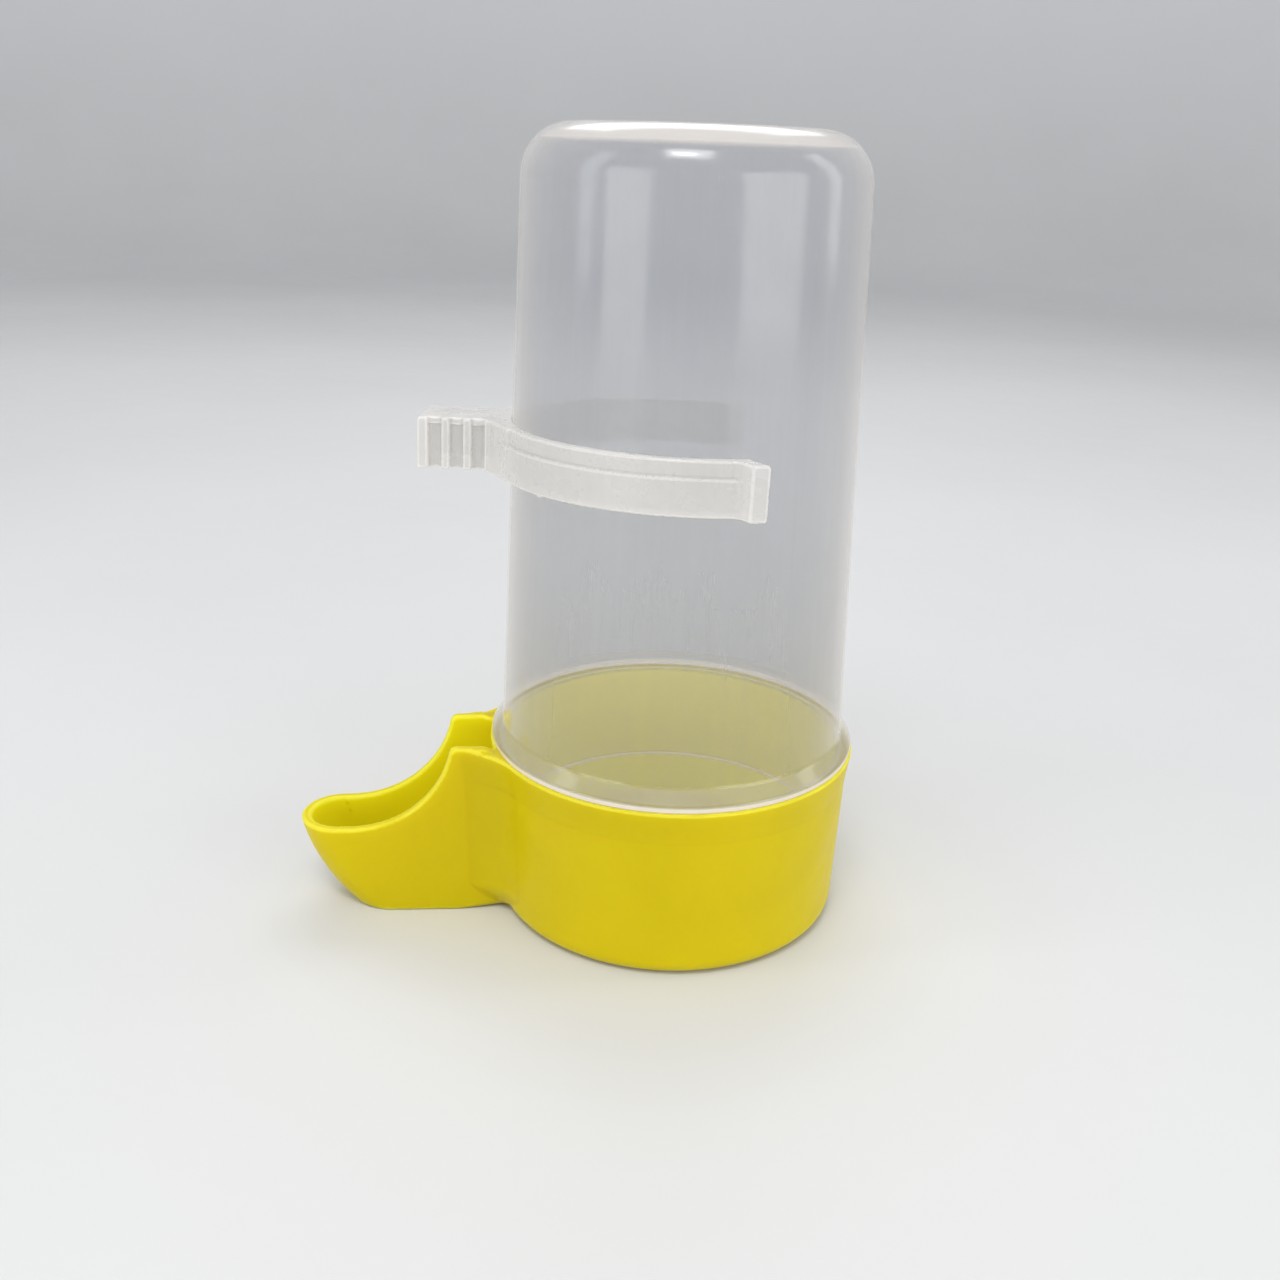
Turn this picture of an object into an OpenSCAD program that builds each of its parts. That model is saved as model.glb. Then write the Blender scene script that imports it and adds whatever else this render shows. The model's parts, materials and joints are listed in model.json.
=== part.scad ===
// Cage-bird drinker: an upside-down reservoir bottle plugs into a cup with a
// drinking spout, and a springy clip round the bottle grips the cage wires.
// Frame: origin at the centre of the cup's underside, +Z up the bottle's axis.
// The spout points along -X.

/* [Base cup] */
// Outer radius of the cup at its foot
cup_foot_r = 25.7; // [25:0.1:26.5]
// Height of the cup's rim
cup_h = 26.1; // [25:0.1:27.5]
// Radius the cup's wall gains per unit of height
cup_lean = 0.03; // [0.02:0.005:0.04]
// Thickness of the cup's wall and floor and of the spout's walls
cup_wall = 1.5; // [1.2:0.1:1.7]
// Rounding of the edge between the foot and the wall
foot_edge_r = 2.5; // [0.5:0.1:3]
// Height of the flared collar under the rim
collar_h = 4.7; // [3:0.1:6]
// Outward flare of the collar at the rim
collar_flare = 0.5; // [0.3:0.05:0.8]

/* [Spout] */
// Distance from the cup's axis to the tip of the spout
spout_reach = 55; // [52:0.5:58]
// Height of the level drinking lip
lip_z = 13.7; // [12.7:0.1:14.5]
// Half the spout's width where it leaves the cup
spout_root_hw = 6.7; // [6:0.1:7]
// Half the spout's width at its nose
spout_nose_hw = 5.9; // [5.4:0.1:6.2]
// Radius of the hollow curve that climbs from the lip to the rim
sweep_r = 15; // [14:0.1:15.5]
// Distance from the tip of the spout back to the foot of that curve
lip_length = 7.4; // [6.6:0.2:8]
// Height by which the spout's top edge stands above the cup's rim
spout_rise = 0.45; // [0.2:0.05:0.8]
// Radius of the blends between the spout and the cup
blend_r = 5.3; // [4:0.1:6]
// Top of the opening that lets water through the cup's wall
window_top = 12.8; // [12:0.1:14]

/* [Bottle] */
// Height of the bottle's closed top
bottle_top_z = 110.5; // [100:0.5:120]
// Outer radius of the bottle just above its shoulder
bottle_root_r = 25.05; // [24.9:0.05:25.3]
// Outer radius the bottle tapers to at its top
bottle_top_r = 22.5; // [22:0.1:23]
// Rounding of the bottle's top edge
bottle_edge_r = 6.6; // [4:0.1:8]
// Wall thickness of the bottle near its top
bottle_wall = 1.2; // [1:0.1:1.4]
// Wall thickness of the bottle at its shoulder
root_wall = 1.8; // [1.6:0.1:1.9]
// Thickness of the closed top
top_wall = 1.5; // [1.2:0.1:2]
// Height of the mouth's edge, which sets the water level
mouth_z = 10.4; // [9:0.2:11.4]
// Wall thickness at the mouth's edge
mouth_wall = 0.9; // [0.8:0.05:1]
// Outer radius of the flange that rests on the cup's rim
flange_r = 26.7; // [26.3:0.05:26.8]
// Thickness of the flange's outer edge
flange_edge_h = 1; // [0.6:0.1:1.4]
// Height of the sloping shoulder above the flange's edge
shoulder_h = 2; // [1.2:0.1:3]

/* [Cage clip] */
// Height of the middle of the clip
clip_z = 68.8; // [60:0.2:85]
// Height of the clip's band
clip_h = 7; // [6:0.1:8]
// Thickness of the clip's band
clip_t = 2; // [1.6:0.1:2.4]
// Angle from the middle of the nose to the end of each arm
clip_wrap = 108; // [104:1:114]
// Angle the clip is turned round the bottle, away from the spout
clip_turn = 8; // [-45:1:45]
// Tilt of the clip's band, with the side that faces -Y higher
clip_tilt = 1.5; // [0:0.1:2.5]
// Tilt of the clip that lifts its nose
clip_rise = 0.8; // [0:0.1:1.5]
// Height of the recessed strip round the top of the band
ledge_h = 2.2; // [1.5:0.1:2.5]
// Depth of that recessed strip
ledge_d = 0.35; // [0.2:0.05:0.5]
// Distance from the bottle's axis to the outer end of an end tab
tab_reach = 28.2; // [27.5:0.1:29]
// Distance from the bottle's axis to the end of the nose
nose_reach = 36.2; // [36:0.1:37]
// Half the width of the nose
nose_hw = 5.1; // [4.8:0.1:5.6]
// Depth of the wire grooves in each side of the nose
groove_d = 1.3; // [1:0.1:1.6]
// Width of a wire groove
groove_w = 1.85; // [1.5:0.05:1.95]
// Distance from one wire groove to the next
groove_pitch = 2.95; // [2.8:0.05:3]
// Wire grooves in each side of the nose
groove_count = 3; // [2:1:3]
// Thickness of the web over the grooves at the top of the nose
web_h = 1; // [0.8:0.1:1.4]

/* [Hidden] */
$fn = 96;

// Radial gap between pieces that slide or turn on each other
running_gap = 0.05;
// Overshoot of a cutting solid past the face it cuts
over = 1;

// Points along an arc of an outline
arc_steps = 8;
function arc(centre, r, from, to) = [
    for (i = [0:arc_steps])
        let (a = from + (to - from) * i / arc_steps)
        [centre[0] + r * cos(a), centre[1] + r * sin(a)]
];

// ---- base cup ----

// Outer and inner radius of the cup's plain wall at a height
function cup_r(z) = cup_foot_r + cup_lean * z;
function bore_r(z) = cup_r(z) - cup_wall;

// Bevel of the rim's outer edge
rim_edge = 0.4;
module cup_outside() {
    foot_edge = [cup_foot_r - foot_edge_r, foot_edge_r];
    rotate_extrude() polygon(concat(
        [[0, 0]],
        arc(foot_edge, foot_edge_r, -90, 0),
        [
            [cup_r(cup_h - collar_h), cup_h - collar_h],
            [rim_r, cup_h - rim_edge],
            [rim_r - rim_edge / 2, cup_h],
            [0, cup_h]
        ]
    ));
}

module cup_bore() {
    top = cup_h + over;
    translate([0, 0, cup_wall])
        cylinder(h = top - cup_wall, r1 = bore_r(cup_wall), r2 = bore_r(top));
}

// The prow seen from the side is a short heel arc that lifts off the ground,
// then a long arc up to the tip. Both are given by the slope angle they reach.
heel_r = 1.8;
heel_slope = 46;
tip_slope = 78;
heel_rise = heel_r * (1 - cos(heel_slope));
prow_r = (lip_z - heel_rise) / (cos(heel_slope) - cos(tip_slope));
heel_u = spout_reach - heel_r * sin(heel_slope) - prow_r * (sin(tip_slope) - sin(heel_slope));

// Distance out and height of the prow's point with slope a, moved inwards by inset
function heel_point(a, inset) = [
    heel_u + (heel_r - inset) * sin(a),
    heel_r - (heel_r - inset) * cos(a)
];
function prow_point(a, inset) = [
    heel_u + (heel_r - prow_r) * sin(heel_slope) + (prow_r - inset) * sin(a),
    heel_r + (prow_r - heel_r) * cos(heel_slope) - (prow_r - inset) * cos(a)
];

// Half the spout's outer width at a distance from the cup's axis
nose_u = spout_reach - spout_nose_hw;
function spout_hw(u) =
    spout_root_hw + (spout_nose_hw - spout_root_hw) * (u - cup_foot_r) / (nose_u - cup_foot_r);

// A round slice of the spout that ends at a point [distance out, height]
slice_h = 0.01;
slice_sides = 48;
module spout_slice(point, inset, h = slice_h) {
    r = spout_hw(point[0] - spout_nose_hw) - inset;
    translate([r - point[0], 0, point[1]]) cylinder(h = h, r = r, $fn = slice_sides);
}

// A cross-wise slice of the spout's channel at a distance from the cup's axis
module channel_slice(u, inset, from_z, to_z) {
    hw = spout_hw(u) - inset;
    translate([-u, -hw, from_z]) cube([slice_h, 2 * hw, to_z - from_z]);
}

// How far the spout's solids start inside the cup's outer face
root_sink = 5;

// The whole spout up to its edge and above, or its inside when inset by the wall
heel_slopes = [0, 23];
prow_slopes = [heel_slope, 54, 62, 70];
sweep_u = spout_reach - lip_length;
module spout_block(inset, near_u, top_z) {
    hull() {
        for (a = heel_slopes) spout_slice(heel_point(a, inset), inset);
        for (a = prow_slopes) spout_slice(prow_point(a, inset), inset);
        spout_slice(prow_point(tip_slope, inset), inset, over);
        channel_slice(near_u, inset, inset, top_z);
        channel_slice(sweep_u - sweep_r + over, inset, cup_h - over, top_z);
    }
}

// Blends that fill the corners between the spout and the cup, seen from above.
// Their arcs end just under the faces they run into.
blend_sink = 0.05;
module blends() {
    blend_y = spout_root_hw + blend_r - blend_sink;
    blend_u = sqrt(pow(cup_foot_r + blend_r - blend_sink, 2) - pow(blend_y, 2));
    outline = concat(
        [[cup_foot_r - root_sink, 0]],
        arc([blend_u, blend_y], blend_r, 180 + atan(blend_y / blend_u), 270),
        [[blend_u, 0]]
    );
    for (side = [-1, 1]) translate([0, 0, foot_edge_r]) linear_extrude(cup_h - foot_edge_r)
        polygon([for (p = outline) [-p[0], side * p[1]]]);
}

// Everything over the spout's edge: above the level lip and inside the hollow curve
module over_the_edge() {
    sweep_z = lip_z + sweep_r;
    end = 180 + asin((sweep_z - cup_h - spout_rise) / sweep_r);
    top = cup_h + spout_rise + over;
    far_u = spout_reach + over;
    outline = concat(
        [[far_u, lip_z]],
        arc([sweep_u, sweep_z], sweep_r, 270, end),
        [[sweep_u + sweep_r * cos(end), top], [far_u, top]]
    );
    translate([0, cup_foot_r, 0]) rotate([90, 0, 0]) linear_extrude(2 * cup_foot_r)
        polygon([for (p = outline) [-p[0], p[1]]]);
}

// Low opening through the cup's wall into the channel, a little narrower than it
window_step = 0.4;
window_reach = 3;
module water_window() {
    hw = spout_root_hw - cup_wall - window_step;
    translate([-cup_foot_r - window_reach, -hw, cup_wall])
        cube([window_reach + root_sink, 2 * hw, window_top - cup_wall]);
}

// Room over the rim for the bottle's flange, where the spout's edge steps down
rim_r = cup_r(cup_h) + collar_flare;
flange_room = 1.2;
module rim_clearance() {
    translate([0, 0, cup_h]) cylinder(h = spout_rise + over, r = rim_r + flange_room);
}

module base_cup() {
    color([0.81, 0.72, 0.05]) difference() {
        union() {
            cup_outside();
            spout_block(0, cup_foot_r - root_sink, cup_h + spout_rise);
            blends();
        }
        rim_clearance();
        over_the_edge();
        cup_bore();
        difference() {
            spout_block(cup_wall, cup_foot_r - root_sink + over, cup_h + spout_rise + over);
            cup_outside();
        }
        water_window();
    }
}

// ---- bottle ----

// Outer radius of the bottle's body at a height
root_z = cup_h + flange_edge_h + shoulder_h;
body_slope = (bottle_root_r - bottle_top_r) / (bottle_top_z - root_z);
function body_r(z) = bottle_root_r - body_slope * (z - root_z);
function neck_r(z) = bore_r(z) - running_gap;

// Outline of the top corner for a wall that is inset from the outside, from the
// side round to the flat top at a height
wall_lean = atan(body_slope);
function corner(inset, top, r) =
    arc([body_r(top - r) - inset - r / cos(wall_lean), top - r], r, wall_lean, 90);

module bottle() {
    inner_edge_r = bottle_edge_r - bottle_wall;
    mouth_r = neck_r(mouth_z) - mouth_wall;
    color([0.80, 0.84, 0.88, 0.5]) rotate_extrude() polygon(concat(
        [
            [mouth_r, mouth_z],
            [neck_r(mouth_z), mouth_z],
            [neck_r(cup_h), cup_h],
            [flange_r, cup_h],
            [flange_r, cup_h + flange_edge_h],
            [bottle_root_r, root_z]
        ],
        corner(0, bottle_top_z, bottle_edge_r),
        [[0, bottle_top_z], [0, bottle_top_z - top_wall]],
        [for (i = [arc_steps:-1:0]) corner(bottle_wall, bottle_top_z - top_wall, inner_edge_r)[i]],
        [[bottle_root_r - root_wall, root_z]]
    ));
}

// ---- cage clip ----

// Inner radius of the band where it is cut to fit the bottle
band_r = body_r(clip_z);
band_outer_r = band_r + clip_t;

module band() {
    core_r = band_r - over;
    rotate([0, 0, 180 - clip_wrap]) rotate_extrude(angle = 2 * clip_wrap) polygon([
        [core_r, -clip_h / 2],
        [band_outer_r, -clip_h / 2],
        [band_outer_r, clip_h / 2 - ledge_h],
        [band_outer_r - ledge_d, clip_h / 2 - ledge_h],
        [band_outer_r - ledge_d, clip_h / 2],
        [core_r, clip_h / 2]
    ]);
}

// Fillet at the foot of each tab and of the nose
foot_fillet = 0.8;

// Turned-out tab at the end of an arm. In its outline the first number runs
// outwards from the axis and the second runs on past the end of the arm.
tab_w = 2.35;
tab_flare = 1.4;
tab_heel = 0.3;
module end_tab() {
    core_r = band_r - over;
    translate([0, 0, -clip_h / 2]) linear_extrude(clip_h) polygon([
        [core_r, -tab_w],
        [band_outer_r - ledge_d, -tab_w - over],
        [band_outer_r, -tab_w],
        [band_outer_r + foot_fillet, tab_flare - tab_w - tab_heel],
        [tab_reach, tab_flare - tab_w],
        [tab_reach, tab_flare],
        [band_r, 0],
        [core_r, 0]
    ]);
}

// Nose that passes between two cage wires, flared where it joins the band
flare_angle = 25;
module nose() {
    block_u = band_outer_r + foot_fillet;
    flare_u = band_outer_r * cos(flare_angle);
    flare_y = band_outer_r * sin(flare_angle);
    root_u = band_r * cos(flare_angle);
    translate([0, 0, -clip_h / 2]) linear_extrude(clip_h) polygon([
        [-root_u, flare_y],
        [-flare_u, flare_y],
        [-block_u, nose_hw],
        [-nose_reach, nose_hw],
        [-nose_reach, -nose_hw],
        [-block_u, -nose_hw],
        [-flare_u, -flare_y],
        [-root_u, -flare_y]
    ]);
}

// One wire groove, full depth under the web and half as deep through it
module wire_groove() {
    full_h = clip_h - web_h;
    translate([-groove_w / 2, -groove_d, -clip_h / 2 - over])
        cube([groove_w, groove_d + over, full_h + over]);
    translate([-groove_w / 2, -groove_d / 2, 0])
        cube([groove_w, groove_d / 2 + over, clip_h]);
}

// Length of the nose's head beyond its last groove
head_w = 1.45;
module wire_grooves() {
    first_u = nose_reach - head_w - groove_w / 2;
    for (i = [0:groove_count - 1]) {
        for (side = [0, 1]) mirror([0, side, 0])
            translate([i * groove_pitch - first_u, nose_hw, 0]) wire_groove();
    }
}

// The bottle's taper, opened by the running gap
module bottle_taper() {
    reach = clip_h;
    low = clip_z - reach;
    high = clip_z + reach;
    translate([0, 0, low]) cylinder(
        h = high - low,
        r1 = body_r(low) + running_gap,
        r2 = body_r(high) + running_gap
    );
}

module cage_clip() {
    color([0.86, 0.86, 0.85, 0.8]) rotate([0, 0, -clip_turn]) difference() {
        translate([0, 0, clip_z]) rotate([-clip_tilt, clip_rise, 0]) difference() {
            union() {
                band();
                nose();
                for (side = [0, 1]) mirror([0, side, 0])
                    rotate([0, 0, 180 - clip_wrap]) mirror([0, 1, 0]) end_tab();
            }
            wire_grooves();
        }
        bottle_taper();
    }
}

base_cup();
bottle();
cage_clip();
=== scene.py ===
"""Looks for a small cage-bird drinker: yellow cup with a spout, milky bottle and milky cage clip.

The cup and the clip are built as smooth distance fields and meshed here, so their fillets are
real. The bottle is a spun profile. Lengths inside the shape functions are in millimetres.
"""

import json
import math

import bpy
import numpy as np
from mathutils import Matrix, Vector


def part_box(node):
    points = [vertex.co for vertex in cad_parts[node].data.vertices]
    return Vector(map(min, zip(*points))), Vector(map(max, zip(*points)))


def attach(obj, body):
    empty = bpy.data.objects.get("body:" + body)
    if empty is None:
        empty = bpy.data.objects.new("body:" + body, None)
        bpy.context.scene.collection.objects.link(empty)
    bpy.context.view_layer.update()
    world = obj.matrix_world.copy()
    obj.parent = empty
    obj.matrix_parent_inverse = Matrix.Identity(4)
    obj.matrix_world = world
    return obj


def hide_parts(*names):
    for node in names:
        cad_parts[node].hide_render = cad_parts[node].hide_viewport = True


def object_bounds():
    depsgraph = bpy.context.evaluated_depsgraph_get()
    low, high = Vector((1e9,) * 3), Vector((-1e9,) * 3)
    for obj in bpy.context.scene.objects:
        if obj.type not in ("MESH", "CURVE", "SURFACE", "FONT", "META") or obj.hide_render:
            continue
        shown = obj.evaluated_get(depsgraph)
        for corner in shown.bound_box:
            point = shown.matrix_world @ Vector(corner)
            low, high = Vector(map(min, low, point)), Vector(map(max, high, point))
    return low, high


MM = 0.001

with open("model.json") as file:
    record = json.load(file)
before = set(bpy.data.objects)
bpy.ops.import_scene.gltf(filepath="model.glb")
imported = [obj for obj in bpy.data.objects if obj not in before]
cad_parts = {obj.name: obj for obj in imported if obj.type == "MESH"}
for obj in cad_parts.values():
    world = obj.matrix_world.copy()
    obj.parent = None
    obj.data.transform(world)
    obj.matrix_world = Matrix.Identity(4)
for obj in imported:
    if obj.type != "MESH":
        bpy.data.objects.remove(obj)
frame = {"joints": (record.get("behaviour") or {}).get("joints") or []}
cad_lo, cad_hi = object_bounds()


def box_mm(node):
    """Lowest and highest corner of a CAD node, in millimetres."""
    lo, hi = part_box(node)
    return np.array(lo) / MM, np.array(hi) / MM


CUP_LO, CUP_HI = box_mm("base_cup")
BOTTLE_LO, BOTTLE_HI = box_mm("bottle")


# ---------------------------------------------------------------- distance-field tools

def cut_round(a, b, r):
    """The part inside both a and b, with its edge rounded to radius r."""
    corner = np.hypot(np.maximum(r + a, 0), np.maximum(r + b, 0))
    return np.minimum(-r, np.maximum(a, b)) + corner


def join_round(a, b, r):
    """Everything inside a or b, with a fillet of radius r between them."""
    corner = np.hypot(np.maximum(r - a, 0), np.maximum(r - b, 0))
    return np.maximum(r, np.minimum(a, b)) - corner


def ramp(low, high, v):
    """0 below low, 1 above high and smooth between."""
    t = np.clip((v - low) / (high - low), 0, 1)
    return t * t * (3 - 2 * t)


BEND = "bend"
# Painted light and shade: marks the cup's hollow to be painted lighter and the clip's groove
# bottoms to be painted darker.
PAINTED_HOLLOW_SHADING = "inside"
LINING = "lining"
BEND_LIMIT = 4.0
LEAST_SLOPE = 0.04
CORNERS = np.array([(i, j, k) for i in (0, 1) for j in (0, 1) for k in (0, 1)])
CELL_EDGES = [
    (a, b)
    for a in range(8)
    for b in range(a + 1, 8)
    if np.abs(CORNERS[a] - CORNERS[b]).sum() == 1
]


def net_vertices(values, cells, low, step):
    """One point in each cell the surface crosses, at the middle of its crossings."""
    inside = np.stack([values[tuple((cells + c).T)] for c in CORNERS], 1)
    total = np.zeros((len(cells), 3))
    count = np.zeros(len(cells))
    for a, b in CELL_EDGES:
        fa, fb = inside[:, a], inside[:, b]
        crossed = (fa < 0) != (fb < 0)
        t = np.where(crossed, fa / np.where(crossed, fa - fb, 1), 0)
        point = CORNERS[a] + t[:, None] * (CORNERS[b] - CORNERS[a])
        total += point * crossed[:, None]
        count += crossed
    return low + (cells + total / count[:, None]) * step


def net_faces(values, index):
    """A quad round each grid edge that crosses the surface, facing outwards."""
    inside = values < 0
    faces = []
    for axis in range(3):
        side, up = (axis + 1) % 3, (axis + 2) % 3
        a = np.moveaxis(inside, (axis, side, up), (0, 1, 2))
        cell = np.moveaxis(index, (axis, side, up), (0, 1, 2))
        first, second = a[:-1, 1:-1, 1:-1], a[1:, 1:-1, 1:-1]
        i, j, k = np.nonzero(first != second)
        quad = np.stack(
            [cell[i, j, k], cell[i, j + 1, k], cell[i, j + 1, k + 1], cell[i, j, k + 1]], 1
        )
        outward = first[i, j, k]
        faces.append(np.where(outward[:, None], quad, quad[:, ::-1]))
    return np.concatenate(faces)


def gradient(field, points, reach=0.02):
    """Which way the field grows at each point, by small steps along each axis."""
    out = np.empty_like(points)
    for axis in range(3):
        step = np.zeros(3)
        step[axis] = reach
        ahead, behind = points + step, points - step
        out[:, axis] = (field(*ahead.T) - field(*behind.T)) / (2 * reach)
    return out


def curvature(field, points, reach=0.3):
    """Bend of the surface per millimetre, positive on edges that stand out."""
    total = -6 * field(*points.T)
    for axis in range(3):
        step = np.zeros(3)
        step[axis] = reach
        total += field(*(points + step).T) + field(*(points - step).T)
    return np.clip(total / reach**2, -BEND_LIMIT, BEND_LIMIT)


def onto_surface(field, points, rounds):
    """Moves points onto the field's zero surface."""
    for _ in range(rounds):
        slope = gradient(field, points)
        square = np.maximum((slope * slope).sum(1), LEAST_SLOPE)
        points = points - slope * (field(*points.T) / square)[:, None]
    return points


def evened(points, faces, share):
    """Points moved a share of the way to the middle of their neighbours."""
    total = np.zeros_like(points)
    count = np.zeros(len(points))
    for a, b in ((0, 1), (1, 2), (2, 3), (3, 0)):
        for p, q in ((faces[:, a], faces[:, b]), (faces[:, b], faces[:, a])):
            for axis in range(3):
                total[:, axis] += np.bincount(p, points[q, axis], len(points))
            count += np.bincount(p, minlength=len(points))
    return points + share * (total / count[:, None] - points)


def mesh_from_field(name, field, low, high, step):
    """A smooth closed mesh of the zero surface of a field, made on a grid of the given step."""
    low = np.array(low, float)
    size = np.ceil((np.array(high) - low) / step).astype(int) + 1
    axes = [low[i] + step * np.arange(size[i]) for i in range(3)]
    values = np.empty(size)
    grid_y, grid_z = np.meshgrid(axes[1], axes[2], indexing="ij")
    for i, x in enumerate(axes[0]):
        values[i] = field(np.full_like(grid_y, x), grid_y, grid_z)
    inside = values < 0
    count = sum(
        inside[c[0]:size[0] - 1 + c[0], c[1]:size[1] - 1 + c[1], c[2]:size[2] - 1 + c[2]]
        .astype(np.int8)
        for c in CORNERS
    )
    cells = np.argwhere((count > 0) & (count < 8))
    index = np.full(size - 1, -1)
    index[tuple(cells.T)] = np.arange(len(cells))
    points = net_vertices(values, cells, low, step)
    faces = net_faces(values, index)
    points = onto_surface(field, points, 2)
    for _ in range(3):
        points = onto_surface(field, evened(points, faces, 0.5), 1)
    points = onto_surface(field, points, 2)
    obj = smooth_object(name, points, faces, gradient(field, points))
    paint(obj, BEND, curvature(field, points))
    return obj, points


def paint(obj, name, values):
    """Stores one number a vertex on the mesh, for its material to read."""
    layer = obj.data.attributes.new(name, "FLOAT", "POINT")
    layer.data.foreach_set("value", values.astype(np.float32))


def smooth_object(name, points, faces, normals=None):
    """A smooth-shaded mesh object from points in millimetres."""
    mesh = bpy.data.meshes.new(name)
    mesh.from_pydata((points * MM).tolist(), [], [tuple(map(int, f)) for f in faces])
    mesh.update()
    mesh.shade_smooth()
    if normals is not None:
        length = np.linalg.norm(normals, axis=1)[:, None]
        mesh.normals_split_custom_set_from_vertices((normals / length).tolist())
    obj = bpy.data.objects.new(name, mesh)
    bpy.context.scene.collection.objects.link(obj)
    return obj


# ---------------------------------------------------------------- cup and spout

# The round cup. R is a radius, H a height and HW half a width.
FOOT_R = 25.7
LEAN = 0.03
WALL = 1.5
NECK_LENGTH = 15.7
CUP_H = BOTTLE_LO[2] + NECK_LENGTH
SPOUT_TOP = CUP_HI[2]
FOOT_EDGE_R = 2.5
SPOUT_EDGE_R = 0.45
FOOT_EDGE_CHANGE = (24, 33)
COLLAR_H = 4.7
COLLAR_FLARE = 0.5
COLLAR_SOFT = 0.25

# The spout, which runs out along -X. U is a distance from the cup's axis along it.
SPOUT_REACH = -CUP_LO[0]
LIP_Z = 13.7
LIP_LENGTH = 7.4
SWEEP_U = SPOUT_REACH - LIP_LENGTH
SWEEP_R = 15.0
ROOT_HW = 6.7
NOSE_HW = 5.9
NOSE_U = SPOUT_REACH - NOSE_HW
HEEL_R = 1.8
HEEL_SLOPE = math.radians(46)
TIP_SLOPE = math.radians(78)
BLEND_R = 5.3
FOOT_BLEND_R = 0.6
BLEND_RISE = 5.0
WINDOW_TOP = 12.8
WINDOW_STEP = 0.4
WINDOW_HW = ROOT_HW - WALL - WINDOW_STEP
WINDOW_MIDDLE = FOOT_R - 1
WINDOW_REACH = 4
WINDOW_FLOOR_R = 0.3
WINDOW_TOP_R = 0.6
SPOUT_START = 10
BORE_FLOOR_R = 1.0
TROUGH_FLOOR_R = 1.2
TROUGH_END_R = 0.5
HOLLOW_EDGE_R = 0.12
LIP_EDGE_R = 0.5
RIM_EDGE_R = 0.4
RIM_EDGE_END = 29
SWEEP_TOP_R = 0.9
RAISED_FROM = (27.3, 28.9)
RAISED_WITHIN = (-7.6, -6.6)
STEEPEST_DROP = 0.9

# The prow under the nose is an arc that leaves the heel and meets the lip at the slopes above.
HEEL_RISE = HEEL_R * (1 - math.cos(HEEL_SLOPE))
PROW_R = (LIP_Z - HEEL_RISE) / (math.cos(HEEL_SLOPE) - math.cos(TIP_SLOPE))
HEEL_U = (
    SPOUT_REACH
    - HEEL_R * math.sin(HEEL_SLOPE)
    - PROW_R * (math.sin(TIP_SLOPE) - math.sin(HEEL_SLOPE))
)
PROW_U = HEEL_U + (HEEL_R - PROW_R) * math.sin(HEEL_SLOPE)
PROW_Z = HEEL_R + (PROW_R - HEEL_R) * math.cos(HEEL_SLOPE)


def cup_radius(z):
    """Outer radius of the cup's wall, with the soft flare of its collar."""
    over = z - (CUP_H - COLLAR_H)
    flare = 0.5 * (over + np.sqrt(over * over + COLLAR_SOFT * COLLAR_SOFT))
    return FOOT_R + LEAN * z + flare * COLLAR_FLARE / COLLAR_H


def half_width(u):
    """Half the spout's width at a distance from the cup's axis."""
    return ROOT_HW + (NOSE_HW - ROOT_HW) * (u - FOOT_R) / (NOSE_U - FOOT_R)


def spout_field(u, y, z, inset):
    """The spout's sides, nose and prow, moved inwards by inset. It has no top or bottom."""
    radius = PROW_R - inset
    drop = np.clip((PROW_Z - z) / radius, 0, STEEPEST_DROP)
    steep = np.sqrt(1 - drop * drop)
    tip = PROW_U + radius * steep
    nose_r = half_width(tip - NOSE_HW) - inset
    centre = tip - nose_r
    past = np.maximum(u - centre, 0)
    nose = np.hypot(past, y) - nose_r
    side = np.abs(y) - (half_width(np.minimum(u, centre)) - inset)
    plan = np.where(u > centre, nose, side)
    along = past / np.maximum(np.hypot(past, y), 1e-6)
    return plan * (1 - along * along * (1 - steep))


def cup_hollow(x, y, z):
    """Signed distance to the hollow of the cup: its bore, the trough and the water window."""
    u = -x
    rho = np.hypot(u, y)
    bore = cut_round(rho - (FOOT_R + LEAN * z - WALL), WALL - z, BORE_FLOOR_R)
    trough = cut_round(spout_field(u, y, z, WALL), WALL - z, TROUGH_FLOOR_R)
    trough = cut_round(np.maximum(trough, SPOUT_START - u), cup_radius(z) - rho, TROUGH_END_R)
    window = cut_round(np.abs(y) - WINDOW_HW, WALL - z, WINDOW_FLOOR_R)
    window = cut_round(window, z - WINDOW_TOP, WINDOW_TOP_R)
    window = np.maximum(window, np.abs(u - WINDOW_MIDDLE) - WINDOW_REACH)
    return np.minimum(np.minimum(bore, trough), window)


def cup_field(x, y, z):
    """Signed distance to the cup with its spout, in millimetres."""
    u = -x
    rho = np.hypot(u, y)
    wall = rho - cup_radius(z)
    spout = spout_field(u, y, z, 0)
    blend = FOOT_BLEND_R + (BLEND_R - FOOT_BLEND_R) * ramp(0, BLEND_RISE, z)
    plan = join_round(wall, np.maximum(spout, SPOUT_START - u), blend)
    foot_r = FOOT_EDGE_R + (SPOUT_EDGE_R - FOOT_EDGE_R) * ramp(*FOOT_EDGE_CHANGE, u)
    outside = cut_round(plan, -z, foot_r)

    on_spout = ramp(*RAISED_FROM, rho) * ramp(*RAISED_WITHIN, -np.abs(y)) * (u > 0)
    top = z - CUP_H - (SPOUT_TOP - CUP_H) * on_spout
    from_sweep = np.hypot(u - SWEEP_U, z - LIP_Z - SWEEP_R) - SWEEP_R
    open_above = np.where(u > SWEEP_U, LIP_Z - z, from_sweep)
    edge = cut_round(top, -open_above, SWEEP_TOP_R)

    body = cut_round(outside, -cup_hollow(x, y, z), HOLLOW_EDGE_R)
    return cut_round(body, edge, np.where(u > RIM_EDGE_END, LIP_EDGE_R, RIM_EDGE_R))


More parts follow.
